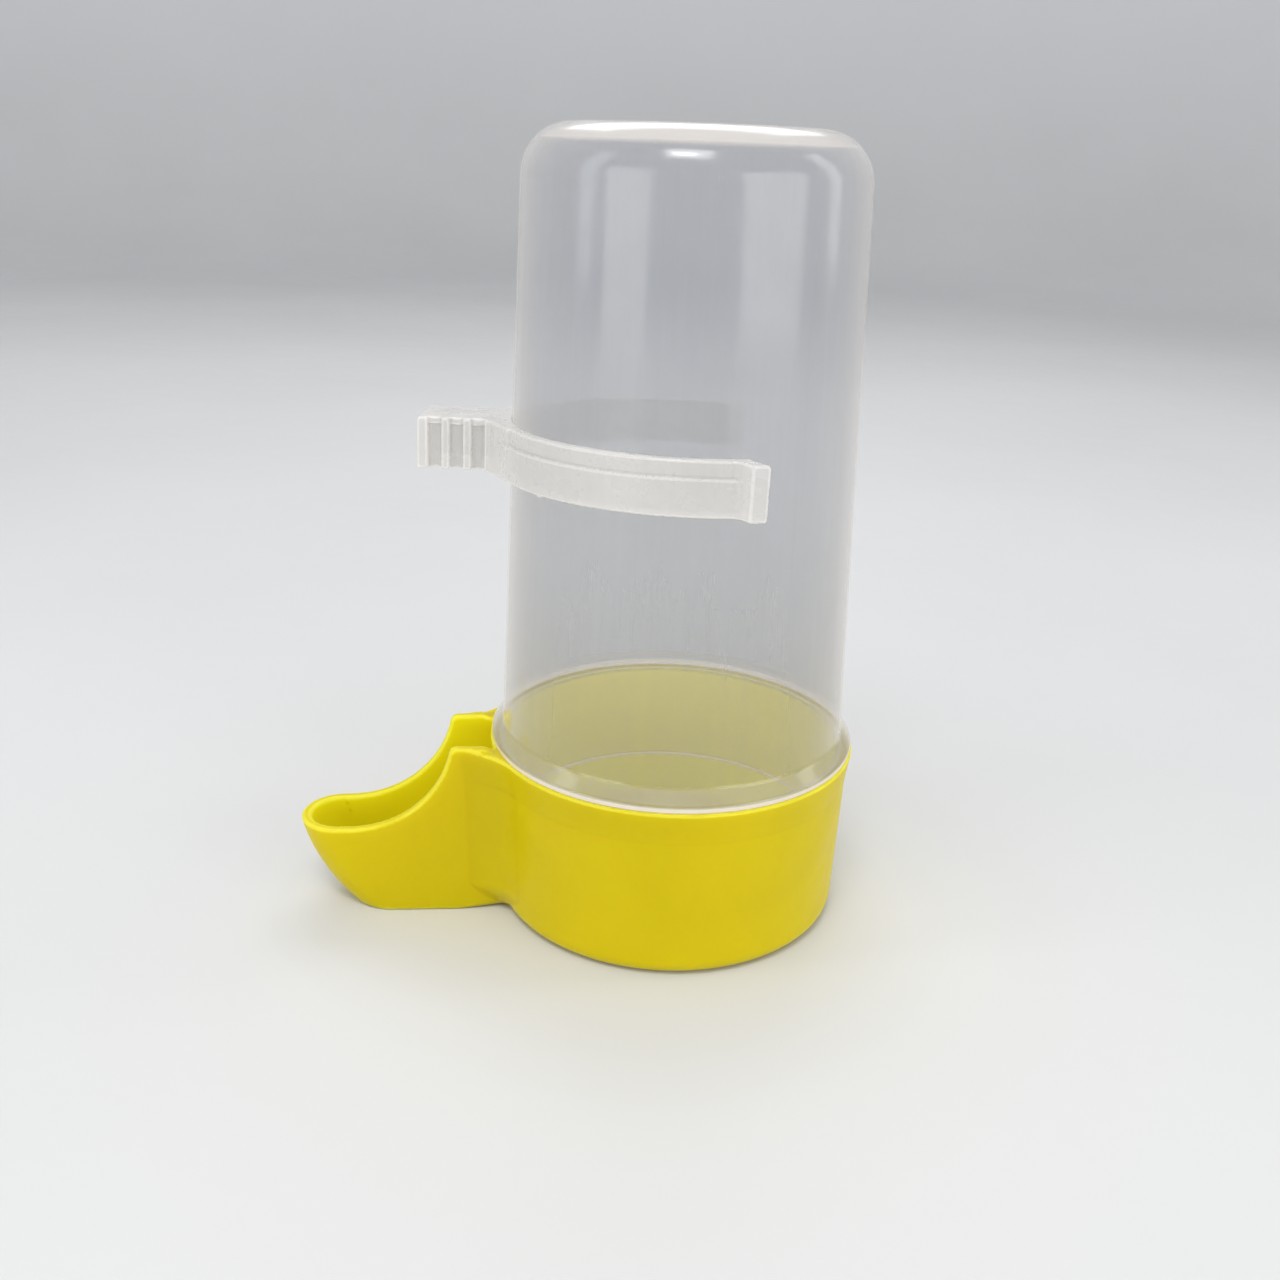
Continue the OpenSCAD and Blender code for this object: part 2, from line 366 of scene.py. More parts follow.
# How much painted light the cup's hollow gets: in the trough, extra in the bore, and less on the
# floors.
TROUGH_PAINTED_LIGHT = 0.6
BORE_PAINTED_LIGHT_EXTRA = 0.55
FLOOR_PAINTED_LIGHT_LESS = 0.45


def paint_cup(cup, points):
    """Marks the hollow's surface for painted light, most in the bore and less on the floors."""
    x, y, z = points.T
    hollow = ramp(-0.8, -0.1, -np.abs(cup_hollow(x, y, z)))
    in_bore = ramp(0.0, 1.0, FOOT_R - np.hypot(x, y))
    off_floor = 1 - FLOOR_PAINTED_LIGHT_LESS * ramp(WALL + 2.5, WALL + 0.6, z)
    paint(cup, PAINTED_HOLLOW_SHADING, (TROUGH_PAINTED_LIGHT + BORE_PAINTED_LIGHT_EXTRA * in_bore) * off_floor * hollow)


# ---------------------------------------------------------------- bottle

FLANGE_R = BOTTLE_HI[0]
TOP_Z = BOTTLE_HI[2]
MOUTH_Z = BOTTLE_LO[2]
ROOT_R = 25.05
TOP_R = 22.5
TOP_EDGE_R = 6.6
SIDE_WALL = 1.2
ROOT_WALL = 1.8
TOP_WALL = 1.5
MOUTH_WALL = 0.9
FLANGE_EDGE_H = 1.0
SHOULDER_H = 2.0
ROOT_STEP = 0.15
ROOT_BEND_H = 1.5
FLANGE_STEP = 1.0
FACE_LENGTH = 4
RUNNING_GAP = 0.05
ROOT_Z = CUP_H + FLANGE_EDGE_H + SHOULDER_H
BODY_SLOPE = (ROOT_R - TOP_R) / (TOP_Z - ROOT_Z)
SPIN_STEPS = 216


def body_radius(z):
    """Outer radius of the bottle's tapered side."""
    return ROOT_R - BODY_SLOPE * (z - ROOT_Z)


def neck_radius(z):
    """Outer radius of the neck, which follows the cup's bore."""
    return FOOT_R + LEAN * z - WALL - RUNNING_GAP


def arc(centre, r, start, end, steps):
    """Points of an arc, in degrees."""
    angles = np.radians(np.linspace(start, end, steps + 1))
    return [(centre[0] + r * math.cos(a), centre[1] + r * math.sin(a)) for a in angles]


def rounded(points, radii, steps=5):
    """An open outline with each inner corner replaced by a fillet of its radius."""
    out = [points[0]]
    for i in range(1, len(points) - 1):
        p, q, s = (np.array(points[i + d], float) for d in (-1, 0, 1))
        r = radii[i]
        a, b = (p - q) / np.linalg.norm(p - q), (s - q) / np.linalg.norm(s - q)
        half = math.acos(max(-1.0, min(1.0, float(a @ b)))) / 2
        if r <= 0 or half > math.radians(89.5):
            out.append(tuple(q))
            continue
        reach = min(
            r / math.tan(half), 0.49 * np.linalg.norm(p - q), 0.49 * np.linalg.norm(s - q)
        )
        r = reach * math.tan(half)
        centre = q + (a + b) / np.linalg.norm(a + b) * r / math.sin(half)
        first, last = q + a * reach - centre, q + b * reach - centre
        start = math.atan2(first[1], first[0])
        turn = math.atan2(last[1], last[0]) - start
        turn = (turn + math.pi) % (2 * math.pi) - math.pi
        for k in range(steps + 1):
            angle = start + turn * k / steps
            out.append((centre[0] + r * math.cos(angle), centre[1] + r * math.sin(angle)))
    out.append(points[-1])
    return out


def divided(points, longest):
    """The outline with long straight runs split up, so that no face is a long sliver."""
    out = [points[0]]
    for p, q in zip(points, points[1:]):
        n = max(1, math.ceil(math.dist(p, q) / longest))
        out += [(p[0] + (q[0] - p[0]) * k / n, p[1] + (q[1] - p[1]) * k / n)
                for k in range(1, n + 1)]
    return out


def spun(name, outline, steps):
    """A closed surface of revolution. The outline starts and ends on the axis."""
    ring = np.array(outline[1:-1])
    angles = np.linspace(0, 2 * math.pi, steps, endpoint=False)
    points = np.concatenate(
        [np.stack([r * np.cos(angles), r * np.sin(angles), np.full(steps, z)], 1)
         for r, z in ring]
        + [[(0, 0, outline[0][1]), (0, 0, outline[-1][1])]]
    )
    faces = []
    for i in range(len(ring) - 1):
        for k in range(steps):
            n = (k + 1) % steps
            faces.append((i * steps + k, i * steps + n, (i + 1) * steps + n, (i + 1) * steps + k))
    first, last = len(ring) * steps, len(ring) * steps + 1
    end = (len(ring) - 1) * steps
    for k in range(steps):
        n = (k + 1) % steps
        faces.append((first, n, k))
        faces.append((last, end + k, end + n))
    return smooth_object(name, points, faces)


def bottle_outline():
    """Half section of the bottle, from the middle of its inside top round to its outside top."""
    lean = math.degrees(math.atan(BODY_SLOPE))
    inner_r = TOP_EDGE_R - SIDE_WALL
    inner_top = TOP_Z - TOP_WALL
    inner_side = body_radius(inner_top - inner_r) - SIDE_WALL
    inner_arc = arc((inner_side - inner_r, inner_top - inner_r), inner_r, 90, lean, 12)
    outer_side = body_radius(TOP_Z - TOP_EDGE_R)
    outer_arc = arc((outer_side - TOP_EDGE_R, TOP_Z - TOP_EDGE_R), TOP_EDGE_R, lean, 90, 18)
    middle = [
        inner_arc[-1],
        (ROOT_R - ROOT_WALL, ROOT_Z + ROOT_BEND_H),
        (ROOT_R - ROOT_WALL - ROOT_STEP, CUP_H - FLANGE_STEP),
        (neck_radius(MOUTH_Z) - MOUTH_WALL, MOUTH_Z),
        (neck_radius(MOUTH_Z), MOUTH_Z),
        (neck_radius(CUP_H), CUP_H),
        (FLANGE_R, CUP_H),
        (FLANGE_R, CUP_H + FLANGE_EDGE_H),
        (ROOT_R, ROOT_Z),
        outer_arc[0],
    ]
    radii = [0, 4, 4, 0.25, 0.35, 0.15, 0.3, 0.45, 1.6, 0]
    outline = [(0, inner_top)] + inner_arc[:-1] + rounded(middle, radii) + outer_arc[1:]
    return divided(outline + [(0, TOP_Z)], FACE_LENGTH)


def paint_bottle(bottle, outline, steps):
    """Marks the inside surface, which is every ring before the mouth and the inner axis point."""
    mouth = min(range(len(outline)), key=lambda i: outline[i][1])
    lined = np.zeros(len(bottle.data.vertices))
    lined[:(mouth - 1) * steps] = 1
    lined[-2] = 1
    paint(bottle, LINING, lined)


# ---------------------------------------------------------------- cage clip

CLIP_Z = frame["joints"][1]["pos_m"][2] / MM
CLIP_H = 7.0
CLIP_T = 2.0
CLIP_WRAP = math.radians(108)
CLIP_TURN = math.radians(8)
CLIP_TILT = math.radians(1.5)
CLIP_RISE = math.radians(0.8)
LEDGE_H = 2.2
LEDGE_D = 0.35
TAB_W = 2.35
TAB_REACH = 28.2
TAB_FLARE = 1.4
NOSE_REACH = 36.2
NOSE_SIDE = 5.1
HEAD_W = 1.45
GROOVE_W = 1.85
GROOVE_D = 1.3
GROOVE_PITCH = 2.95
GROOVE_COUNT = 3
WEB_H = 1.0
FLARE_ANGLE = math.radians(25)
CLIP_EDGE_R = 0.28
LEDGE_SOFT = 0.06
TAB_HEEL = 0.75
TAB_EDGE_R = 0.25
TAB_ROOT_R = 0.8
NOSE_ROOT_R = 1.2
NOSE_EDGE_R = 0.3
NOSE_START = 18
NOSE_BLEND_R = 0.5
FLARE_STEP = 0.8
SINK = 1
DEEP_R = 0.5
SHALLOW_R = 0.4
GROOVE_EDGE_R = 0.2
GRIP_EDGE_R = 0.2
GATE_ANGLE = math.radians(43)
GATE_R = 0.55
FLASH_R = 0.35
NUB_IN = 0.9
NUB_SIDE = 0.3
NUB_SINK = 0.1
BAND_R = body_radius(CLIP_Z)
BAND_OUT = BAND_R + CLIP_T

CLIP_FRAME = (
    Matrix.Rotation(-CLIP_TURN, 3, "Z")
    @ Matrix.Rotation(CLIP_RISE, 3, "Y")
    @ Matrix.Rotation(-CLIP_TILT, 3, "X")
)


def line_field(p, q, x, y):
    """Distance from the line through p and q, positive on its left."""
    dx, dy = q[0] - p[0], q[1] - p[1]
    return (dx * (y - p[1]) - dy * (x - p[0])) / math.hypot(dx, dy)


def nub(x, y, z, centre, r):
    """Signed distance to a small round nub."""
    return np.sqrt((x - centre[0]) ** 2 + (y - centre[1]) ** 2 + (z - centre[2]) ** 2) - r


def clip_axes(x, y, z):
    """Places in the clip's own frame: u out along the nose, v to its left, w up from its middle."""
    turn = np.array(CLIP_FRAME).T
    zc = z - CLIP_Z
    u = -(turn[0, 0] * x + turn[0, 1] * y + turn[0, 2] * zc)
    v = turn[1, 0] * x + turn[1, 1] * y + turn[1, 2] * zc
    w = turn[2, 0] * x + turn[2, 1] * y + turn[2, 2] * zc
    return u, v, w


def clip_grooves(u, side, w):
    """Signed distance to the hollow of the nose's wire grooves."""
    first = NOSE_REACH - HEAD_W - GROOVE_W / 2
    nearest = np.clip(np.round((first - u) / GROOVE_PITCH), 0, GROOVE_COUNT - 1)
    across = np.abs(u - first + nearest * GROOVE_PITCH) - GROOVE_W / 2
    deep = cut_round(across, NOSE_SIDE - GROOVE_D - side, DEEP_R)
    deep = np.maximum(deep, w - (CLIP_H / 2 - WEB_H))
    shallow = cut_round(across, NOSE_SIDE - GROOVE_D / 2 - side, SHALLOW_R)
    return np.minimum(deep, shallow)


def clip_field(x, y, z):
    """Signed distance to the cage clip, in millimetres."""
    u, v, w = clip_axes(x, y, z)
    side = np.abs(v)
    rho = np.hypot(u, v)
    bottle = body_radius(z) + RUNNING_GAP - np.hypot(x, y)
    half_h = np.abs(w) - CLIP_H / 2

    cos_w, sin_w = math.cos(CLIP_WRAP), math.sin(CLIP_WRAP)
    out = u * cos_w + side * sin_w
    past = -u * sin_w + side * cos_w
    ledge = CLIP_H / 2 - LEDGE_H
    strip = LEDGE_D * ramp(ledge - LEDGE_SOFT, ledge + LEDGE_SOFT, w)
    band = np.maximum(rho - BAND_OUT + strip, past)
    band = np.maximum(band, BAND_R - SINK - rho)

    heel, toe = (BAND_OUT, TAB_HEEL - TAB_W), (TAB_REACH, TAB_FLARE - TAB_W)
    tab = np.maximum(
        -line_field((TAB_REACH, TAB_FLARE), (BAND_R, 0), out, past),
        -line_field(heel, toe, out, past),
    )
    tab = cut_round(tab, out - TAB_REACH, TAB_EDGE_R)
    tab = np.maximum(tab, BAND_R - SINK - out)
    shape = join_round(band, tab, TAB_ROOT_R)

    flare_u, flare_v = BAND_OUT * math.cos(FLARE_ANGLE), BAND_OUT * math.sin(FLARE_ANGLE)
    gusset = line_field((flare_u, flare_v), (BAND_OUT + FLARE_STEP, NOSE_SIDE), u, side)
    gusset = np.maximum(gusset, side - flare_v)
    nose = join_round(side - NOSE_SIDE, gusset, NOSE_ROOT_R)
    nose = cut_round(nose, u - NOSE_REACH, NOSE_EDGE_R)
    nose = np.maximum(nose, NOSE_START - u)
    shape = join_round(shape, nose, NOSE_BLEND_R)

    shape = cut_round(shape, -clip_grooves(u, side, w), GROOVE_EDGE_R)

    shape = cut_round(shape, half_h, CLIP_EDGE_R)
    shape = cut_round(shape, bottle, GRIP_EDGE_R)

    nub_w = NUB_SINK - CLIP_H / 2
    gate_u = (BAND_OUT - NUB_IN) * math.cos(GATE_ANGLE)
    gate_v = -(BAND_OUT - NUB_IN) * math.sin(GATE_ANGLE)
    shape = join_round(shape, nub(u, v, w, (gate_u, gate_v, nub_w), GATE_R), 0.15)
    flash_u = (TAB_REACH - NUB_IN) * cos_w - NUB_SIDE * sin_w
    flash_v = -(TAB_REACH - NUB_IN) * sin_w - NUB_SIDE * cos_w
    return join_round(shape, nub(u, v, w, (flash_u, flash_v, nub_w), FLASH_R), 0.1)


def paint_clip(clip, points):
    """Marks the bottoms of the wire grooves for painted shade."""
    u, v, w = clip_axes(*points.T)
    side = np.abs(v)
    near_bottom = 1 - ramp(NOSE_SIDE - GROOVE_D - 0.2, NOSE_SIDE - 0.3, side)
    on_groove = ramp(-0.3, -0.05, -np.abs(clip_grooves(u, side, w)))
    paint(clip, PAINTED_HOLLOW_SHADING, near_bottom * on_groove)


# ---------------------------------------------------------------- materials

class Nodes:
    """A material's node tree with short calls to add and link nodes."""

    def __init__(self, name):
        self.material = bpy.data.materials.new(name)
        self.material.use_nodes = True
        self.tree = self.material.node_tree
        self.tree.nodes.clear()
        self.output = self.tree.nodes.new("ShaderNodeOutputMaterial")
        self.place = self.add("ShaderNodeTexCoord").outputs["Object"]

    def add(self, kind, settings=None, **values):
        node = self.tree.nodes.new(kind)
        for key, value in (settings or {}).items():
            setattr(node, key, value)
        for key, value in values.items():
            self.put(node.inputs[key.replace("_", " ")], value)
        return node

    def put(self, socket, value):
        if isinstance(value, bpy.types.NodeSocket):
            self.tree.links.new(value, socket)
        else:
            socket.default_value = value

    def maths(self, operation, a, b=0.0, clamp=False):
        node = self.tree.nodes.new("ShaderNodeMath")
        node.operation = operation
        node.use_clamp = clamp
        self.put(node.inputs[0], a)
        self.put(node.inputs[1], b)
        return node.outputs[0]

    def spread(self, value, low, high, to_low, to_high, smooth=False):
        """Maps a value's range onto another, held at its ends."""
        node = self.tree.nodes.new("ShaderNodeMapRange")
        if smooth:
            node.interpolation_type = "SMOOTHSTEP"
        self.put(node.inputs["Value"], value)
        for key, number in (
            ("From Min", low), ("From Max", high), ("To Min", to_low), ("To Max", to_high)
        ):
            self.put(node.inputs[key], number)
        return node.outputs[0]

    def stretched(self, scale):
        """The object's coordinates with each axis scaled, for grain that runs one way."""
        node = self.tree.nodes.new("ShaderNodeMapping")
        self.tree.links.new(self.place, node.inputs["Vector"])
        node.inputs["Scale"].default_value = scale
        return node.outputs[0]

    def stored(self, name):
        """A number painted on the mesh, or 0 where the mesh has none."""
        return self.add("ShaderNodeAttribute", {"attribute_name": name}).outputs["Fac"]

    def noise(self, scale, detail=3.0, rough=0.5, vector=None, twist=0.0):
        node = self.add(
            "ShaderNodeTexNoise", Scale=scale, Detail=detail, Roughness=rough, Distortion=twist
        )
        self.tree.links.new(vector or self.place, node.inputs["Vector"])
        return node.outputs["Fac"]

    def blend(self, factor, a, b, kind="MIX"):
        node = self.tree.nodes.new("ShaderNodeMix")
        node.data_type = "RGBA"
        node.blend_type = kind
        self.put(node.inputs[0], factor)
        self.put(node.inputs[6], a)
        self.put(node.inputs[7], b)
        return node.outputs[2]

    def mix(self, factor, a, b):
        node = self.tree.nodes.new("ShaderNodeMixShader")
        self.put(node.inputs[0], factor)
        self.tree.links.new(a, node.inputs[1])
        self.tree.links.new(b, node.inputs[2])
        return node.outputs[0]

    def bump(self, height, distance, strength=1.0, normal=None):
        node = self.add("ShaderNodeBump", Strength=strength, Distance=distance, Height=height)
        if normal is not None:
            self.tree.links.new(normal, node.inputs["Normal"])
        return node.outputs["Normal"]

    def finish(self, shader):
        self.tree.links.new(shader, self.output.inputs["Surface"])
        return self.material


SOFT_BAND = 0.0003
LAMP_SHARE = 0.22
NECK_SHARE = 0.45
NECK_PALE = 0.7
# Heights in metres between which the painted shade on the bottle's lower part fades out.
LOW_SHADE_FULL_BELOW = 0.03
LOW_SHADE_GONE_ABOVE = 0.075
GLOW_SHARE = 0.42
PLASTIC_IOR = 1.49
NATURAL_WHITE = (0.97, 0.97, 0.97, 1)


def shaded(colour, share):
    """A colour scaled towards black."""
    return [c * share for c in colour[:3]] + [1]


def scratches(n, density):
    """Upright hair scratches of two sizes and a few dust specks, from 0 to 1."""
    total = None
    for scale, twist, width in (((1500, 1500, 50), 0.0, 0.006), ((900, 900, 70), 0.15, 0.004)):
        field = n.noise(1.0, 2.0, 0.5, n.stretched(scale), twist)
        off = n.maths("ABSOLUTE", n.maths("SUBTRACT", field, 0.5))
        line = n.spread(off, 0.0, width, 1.0, 0.0)
        patch = n.spread(n.noise(70.0 + scale[0] / 9, 2.0), 0.66 - density, 0.74 - density, 0, 1)
        line = n.maths("MULTIPLY", line, patch)
        total = line if total is None else n.maths("MAXIMUM", total, line)
    dust = n.add("ShaderNodeTexVoronoi", Scale=900.0, Randomness=1.0)
    n.tree.links.new(n.place, dust.inputs["Vector"])
    speck = n.spread(dust.outputs["Distance"], 0.05, 0.10, 1.0, 0.0)
    where = n.spread(n.noise(55.0, 3.0), 0.64 - density, 0.74 - density, 0, 1)
    return n.maths("MAXIMUM", total, n.maths("MULTIPLY", speck, where))


def yellow_plastic():
    """Yellow moulded polypropylene, a little translucent, satin, with a painted highlight along its
    edges that is partly edge wear, painted shade in its creases and painted light in its hollow.
    """
    n = Nodes("yellow_plastic")
    flow = n.spread(n.noise(38.0, 4.0, 0.55, twist=0.6), 0.3, 0.7, 0, 1)
    base = n.blend(flow, (0.55, 0.45, 0.001, 1), (0.61, 0.50, 0.002, 1))
    # Painted light: the cup's hollow is made lighter yellow, most in the bore and less on the
    # floors, standing in for light that gets inside through the plastic.
    inside = n.stored(PAINTED_HOLLOW_SHADING)
    base = n.blend(n.maths("MULTIPLY", inside, 0.85), base, (0.86, 0.80, 0.014, 1))
    bend = n.stored(BEND)
    # Partly edge wear, partly painted highlight: convex edges and rims are made lighter yellow.
    rim = n.spread(bend, 0.5, 2.0, 0.0, 1.0, smooth=True)
    rubbed_and_highlit_edge = n.maths("MULTIPLY", rim, n.spread(n.noise(160.0, 3.0), 0.3, 0.7, 0.5, 1.0))
    base = n.blend(n.maths("MULTIPLY", rubbed_and_highlit_edge, 0.6), base, (0.80, 0.73, 0.08, 1))
    # Painted shade: creases, such as the collar crease and the blends, are darkened, kept off the
    # hollow.
    painted_crease_shade = n.spread(bend, -0.36, -0.03, 1.0, 0.0, smooth=True)
    painted_crease_shade = n.maths("MULTIPLY", painted_crease_shade, n.spread(inside, 0.0, 0.5, 0.35, 0.0))
    base = n.blend(painted_crease_shade, base, (0.42, 0.32, 0.001, 1))
    marks = scratches(n, 0.0)
    base = n.blend(n.maths("MULTIPLY", marks, 0.06), base, (0.95, 0.88, 0.45, 1))
    rough = n.spread(n.noise(210.0, 4.0, 0.6), 0.25, 0.75, 0.30, 0.44)
    rough = n.maths("ADD", rough, n.maths("MULTIPLY", marks, 0.15), clamp=True)
    peel = n.bump(n.noise(620.0, 2.0), 0.00002, 0.5)
    grain = n.bump(n.noise(2600.0, 2.0), 0.000006, 0.5, peel)
    normal = n.bump(marks, 0.00001, 0.3, grain)
    shader = n.add(
        "ShaderNodeBsdfPrincipled",
        Base_Color=base,
        Roughness=rough,
        IOR=PLASTIC_IOR,
        Specular_IOR_Level=0.15,
        Subsurface_Weight=0.85,
        Subsurface_Radius=(1.0, 0.9, 0.12),
        Subsurface_Scale=0.004,
        Normal=normal,
    )
    return n.finish(shader.outputs[0])


def milky_plastic(
    name, haze, edge_haze, tint, bright, through, shine, cloud, streaks, thick,
    neck_top=-1.0, low_painted_shade=0.0,
):
    """Natural polypropylene. haze is how much one surface hides head on, edge_haze aslant.

    tint is its colour head on, bright its colour aslant and where it is thick, and through tints
    what is seen through it. shine is its lowest roughness. cloud and streaks vary the haze.
    thick holds (low, high, amount) bands of height in metres. Below neck_top it is clearer, and
    the share low_painted_shade of painted shade darkens its lower half.
    The lining's haze is left to the outer surface, since a real wall bends its lining's outline
    out of sight. Lamps meet less haze than the camera does, which lets light inside.
    """
    n = Nodes(name)
    facing = n.add("ShaderNodeLayerWeight", Blend=0.5).outputs["Facing"]
    slant = n.maths("POWER", facing, 2.6)
    cloudy = n.spread(n.noise(26.0, 4.0, 0.55, twist=0.5), 0.3, 0.7, -cloud, cloud)
    lines = n.noise(1.0, 3.0, 0.6, n.stretched((420, 420, 9)))
    lines = n.spread(lines, 0.3, 0.7, -streaks, streaks)
    marks = scratches(n, -0.03)
    height = n.add("ShaderNodeSeparateXYZ", Vector=n.place).outputs["Z"]
    solid_part = n.maths("MULTIPLY", slant, 0.9)
    body = n.spread(height, neck_top - SOFT_BAND, neck_top + SOFT_BAND, 0, 1, smooth=True)
    hide = n.spread(solid_part, 0.0, 1.0, haze, edge_haze)
    hide = n.maths("MULTIPLY", hide, n.spread(body, 0, 1, NECK_SHARE, 1))
    for low, high, amount in thick:
        start = n.spread(height, low - SOFT_BAND, low + SOFT_BAND, 0, 1, smooth=True)
        end = n.spread(height, high - SOFT_BAND, high + SOFT_BAND, 1, 0, smooth=True)
        band = n.maths("MULTIPLY", start, end)
        solid_part = n.maths("MAXIMUM", solid_part, n.maths("MULTIPLY", band, amount))
        banded = n.maths("MULTIPLY", band, haze + amount * (edge_haze - haze))
        hide = n.maths("MAXIMUM", hide, banded)
    hide = n.maths("ADD", n.maths("ADD", hide, cloudy), lines)
    hide = n.maths("ADD", hide, n.maths("MULTIPLY", marks, 0.04), clamp=True)
    lining = n.stored(LINING)
    hide = n.maths("MULTIPLY", hide, n.spread(lining, 0, 1, 1, 0))
    lamp = n.add("ShaderNodeLightPath").outputs["Is Shadow Ray"]
    hide = n.maths("MULTIPLY", hide, n.spread(lamp, 0, 1, 1, LAMP_SHARE))

    base = n.blend(n.spread(n.noise(60.0, 3.0), 0.3, 0.7, 0, 1), tint, shaded(tint, 0.94))
    # Painted shade: the lower part is darkened.
    low_shade = n.spread(height, LOW_SHADE_FULL_BELOW, LOW_SHADE_GONE_ABOVE, low_painted_shade, 0.0, smooth=True)
    base = n.blend(n.maths("MULTIPLY", low_shade, body), base, shaded(tint, 0.5))
    base = n.blend(n.spread(body, 0, 1, NECK_PALE, 0), base, bright)
    # Painted shade: the clip's groove bottoms are darkened where they are marked.
    base = n.blend(n.maths("MULTIPLY", n.stored(PAINTED_HOLLOW_SHADING), 0.7), base, shaded(tint, 0.6))
    base = n.blend(solid_part, base, bright)
    bend = n.stored(BEND)
    # Painted highlight: convex edges are made lighter.
    base = n.blend(n.spread(bend, 0.6, 2.4, 0.0, 0.8, smooth=True), base, bright)
    # Painted shade: creases are darkened.
    painted_crease_shade = n.spread(bend, -2.6, -0.5, 0.3, 0.0, smooth=True)
    base = n.blend(painted_crease_shade, base, shaded(tint, 0.55))
    base = n.blend(n.maths("MULTIPLY", marks, 0.15), base, NATURAL_WHITE)
    rough = n.spread(n.noise(240.0, 4.0, 0.6), 0.25, 0.75, shine, shine + 0.14)
    rough = n.maths("ADD", rough, n.maths("MULTIPLY", marks, 0.06), clamp=True)
    wavy = n.bump(n.noise(1.0, 2.0, 0.5, n.stretched((160, 160, 14))), 0.00006, 0.5)
    normal = n.bump(n.noise(900.0, 2.0), 0.000004, 0.5, wavy)
    solid = n.add(
        "ShaderNodeBsdfPrincipled",
        Base_Color=base,
        Roughness=rough,
        IOR=PLASTIC_IOR,
        Specular_IOR_Level=0.5,
        Normal=normal,
    )
    glow = n.add("ShaderNodeBsdfTranslucent", Color=base)
    milk = n.mix(GLOW_SHARE, solid.outputs[0], glow.outputs[0])
    clear = n.add("ShaderNodeBsdfTransparent", Color=through)
    shader = n.mix(hide, clear.outputs[0], milk)
    mirror = n.add("ShaderNodeBsdfGlossy", Roughness=rough, Normal=normal, Color=(1, 1, 1, 1))
    bent = n.add("ShaderNodeFresnel", IOR=1.45, Normal=normal).outputs[0]
    front = n.maths("SUBTRACT", 1.0, n.add("ShaderNodeNewGeometry").outputs["Backfacing"])
    reflected = n.maths("MULTIPLY", bent, front)
    reflected = n.maths("MULTIPLY", reflected, n.spread(lining, 0, 1, 0.9, 0.4))
    return n.finish(n.mix(reflected, shader, mirror.outputs[0]))


# ---------------------------------------------------------------- the three pieces

def place(obj, body, node, material):
    obj.data.materials.append(material)
    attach(obj, body)
    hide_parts(node)
    return obj


CUP_STEP = 0.42
CLIP_STEP = 0.27

cup, points = mesh_from_field("cup", cup_field, CUP_LO - 1.5, CUP_HI + 1.5, CUP_STEP)
paint_cup(cup, points)
place(cup, "cup", "base_cup", yellow_plastic())

outline = bottle_outline()
bottle = spun("reservoir_bottle", outline, SPIN_STEPS)
paint_bottle(bottle, outline, SPIN_STEPS)
place(
    bottle, "reservoir", "bottle",
    milky_plastic(
        "bottle_plastic",
        haze=0.47,
        edge_haze=0.93,
        tint=(0.44, 0.465, 0.52, 1),
        bright=(0.97, 0.91, 0.85, 1),
        through=(0.99, 0.985, 0.975, 1),
        shine=0.09,
        cloud=0.02,
        streaks=0.02,
        thick=[
            (CUP_H * MM, (CUP_H + FLANGE_EDGE_H - 0.1) * MM, 1.0),
            ((CUP_H + FLANGE_EDGE_H) * MM, ROOT_Z * MM, 0.25),
            ((TOP_Z - 2.2) * MM, (TOP_Z + 1) * MM, 0.7),
            ((MOUTH_Z - 1) * MM, (MOUTH_Z + 0.3) * MM, 1.0),
        ],
        neck_top=(CUP_H - 0.5) * MM,
        low_painted_shade=0.45,
    ),
)

clip_lo, clip_hi = box_mm("cage_clip")
clip, points = mesh_from_field("wire_clip", clip_field, clip_lo - 1.2, clip_hi + 1.2, CLIP_STEP)
paint_clip(clip, points)
place(
    clip, "clip", "cage_clip",
    milky_plastic(
        "clip_plastic",
        haze=0.64,
        edge_haze=0.90,
        tint=(0.75, 0.74, 0.725, 1),
        bright=(0.95, 0.93, 0.90, 1),
        through=(0.98, 0.975, 0.965, 1),
        shine=0.22,
        cloud=0.05,
        streaks=0.03,
        thick=[],
    ),
)


# ---------------------------------------------------------------- stage, light and camera

def backdrop():
    """A pale round floor that curves up into a plain wall all round the object."""
    reach, bend, height, steps, arc_steps = 1.5, 0.5, 1.3, 96, 12
    profile = [(0.3, 0.0), (reach - bend, 0.0)]
    for k in range(1, arc_steps + 1):
        a = math.pi / 2 * k / arc_steps
        profile.append((reach - bend + bend * math.sin(a), bend * (1 - math.cos(a))))
    profile.append((reach, height))
    angles = [2 * math.pi * k / steps for k in range(steps)]
    points = [(0, 0, 0)] + [
        (r * math.cos(a), r * math.sin(a), z) for r, z in profile for a in angles
    ]
    faces = []
    for k in range(steps):
        n = (k + 1) % steps
        faces.append((0, 1 + k, 1 + n))
        for i in range(len(profile) - 1):
            near, far = 1 + i * steps, 1 + (i + 1) * steps
            faces.append((near + k, far + k, far + n, near + n))
    return smooth_object("backdrop", np.array(points) / MM, faces)


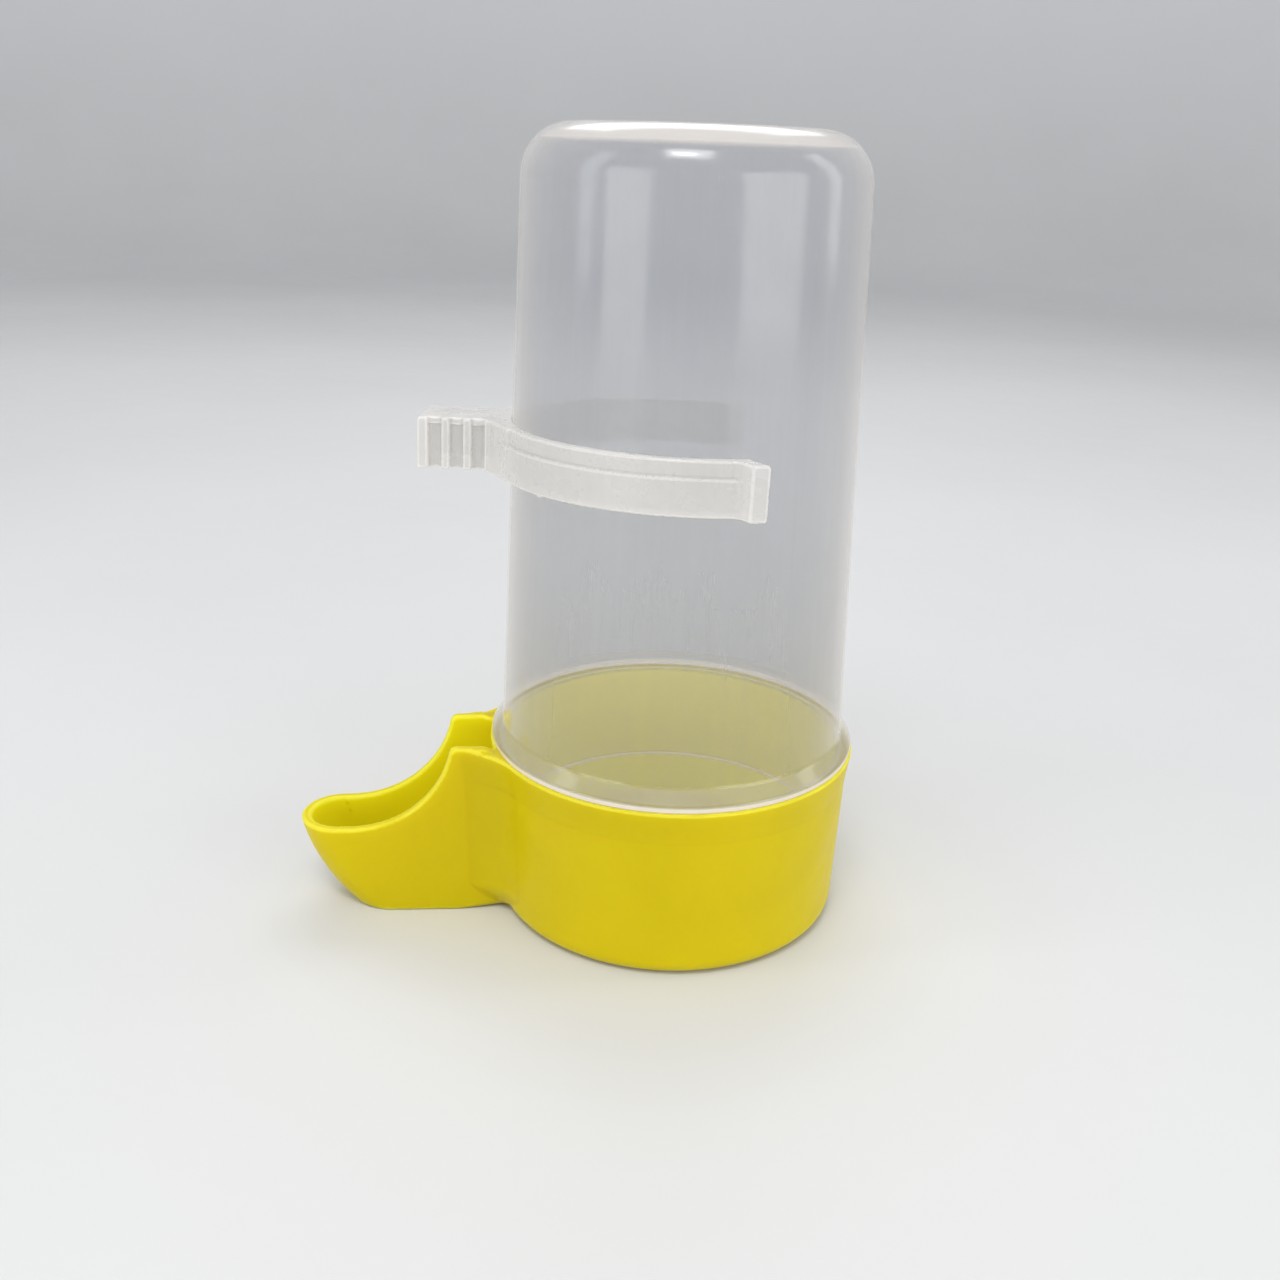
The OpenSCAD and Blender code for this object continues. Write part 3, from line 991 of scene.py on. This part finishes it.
def floor_paint():
    """Pale matt paint, with painted light making it paler up the wall, where less lamp light
    reaches.
    """
    n = Nodes("floor_paint")
    uneven = n.spread(n.noise(5.0, 3.0), 0.3, 0.7, 0, 1)
    tone = n.blend(uneven, (0.66, 0.66, 0.655, 1), (0.70, 0.70, 0.695, 1))
    height = n.add("ShaderNodeSeparateXYZ", Vector=n.place).outputs["Z"]
    # Painted light: the wall is painted paler with height, making up for the lamp light that falls
    # off there.
    tone = n.blend(n.spread(height, 0.0, 0.4, 0, 1, smooth=True), tone, (0.84, 0.84, 0.84, 1))
    rough = n.spread(n.noise(90.0, 3.0), 0.3, 0.7, 0.55, 0.7)
    shader = n.add(
        "ShaderNodeBsdfPrincipled", Base_Color=tone, Roughness=rough, Specular_IOR_Level=0.25
    )
    return n.finish(shader.outputs[0])


floor = backdrop()
floor.data.materials.append(floor_paint())


def softbox(name, at, width, height, power, colour):
    """A rectangular lamp aimed at the middle of the object. Its power is in watts."""
    light = bpy.data.lights.new(name, "AREA")
    light.shape = "RECTANGLE"
    light.size, light.size_y = width, height
    light.energy = power
    light.color = colour
    obj = bpy.data.objects.new(name, light)
    obj.location = at
    obj.rotation_mode = "QUATERNION"
    obj.rotation_quaternion = (MIDDLE - Vector(at)).to_track_quat("-Z", "Y")
    bpy.context.scene.collection.objects.link(obj)


MIDDLE = Vector((cad_lo + cad_hi) / 2)
WARM = (1.0, 0.985, 0.96)
SOFT_WHITE = (1.0, 0.99, 0.98)
for lamp in (
    ("key", (-0.10, -0.34, 0.62), 0.26, 0.20, 1.25, WARM),
    ("glint", (-0.12, -0.33, 0.60), 0.12, 0.045, 0.4, (1.0, 0.99, 0.97)),
    ("front_left", (-0.62, -0.50, 0.22), 0.42, 0.4, 1.3, SOFT_WHITE),
    ("front_right", (0.52, -0.58, 0.22), 0.62, 0.4, 2.0, SOFT_WHITE),
    ("left_strip", (-0.55, -0.10, 0.30), 0.12, 0.5, 0.45, (0.95, 0.98, 1.0)),
    ("right_strip", (0.55, -0.02, 0.30), 0.12, 0.5, 0.4, (0.96, 0.98, 1.0)),
    ("back_top", (0.05, 0.45, 0.55), 0.5, 0.3, 1.1, (1, 1, 1)),
):
    softbox(*lamp)

world = bpy.data.worlds.new("studio")
world.use_nodes = True
sky = world.node_tree.nodes["Background"]
sky.inputs["Color"].default_value = (0.93, 0.95, 1.0, 1)
sky.inputs["Strength"].default_value = 0.68
scene = bpy.context.scene
scene.world = world
scene.view_settings.view_transform = "Standard"
scene.cycles.transparent_max_bounces = 24
scene.cycles.max_bounces = 7
scene.cycles.diffuse_bounces = 4
scene.cycles.glossy_bounces = 2


def camera_axes(yaw, pitch, roll):
    """Right, up and forward of a camera, from angles in radians. Yaw 0 looks along +Y."""
    forward = Vector(
        (math.sin(yaw) * math.cos(pitch), math.cos(yaw) * math.cos(pitch), -math.sin(pitch))
    )
    level = Vector((math.cos(yaw), -math.sin(yaw), 0))
    above = level.cross(forward)
    right = level * math.cos(roll) + above * math.sin(roll)
    return right, right.cross(forward), forward


VIEW_TURN = Matrix.Rotation(math.radians(-9), 3, "Z")
VIEW_PLACE = Vector((0, -0.1756, 0.10664))
YAW, PITCH, ROLL = (math.radians(a) for a in (-1.67, 20.705, 2.078))
right, up, forward = (VIEW_TURN @ axis for axis in camera_axes(YAW, PITCH, ROLL))
lens = bpy.data.cameras.new("camera")
lens.sensor_width = 36
lens.lens = 36
lens.clip_start = 0.005
camera = bpy.data.objects.new("camera", lens)
turned = Matrix((right, up, -forward)).transposed().to_4x4()
camera.matrix_world = Matrix.Translation(VIEW_TURN @ VIEW_PLACE) @ turned
scene.collection.objects.link(camera)
bpy.context.scene.camera = camera
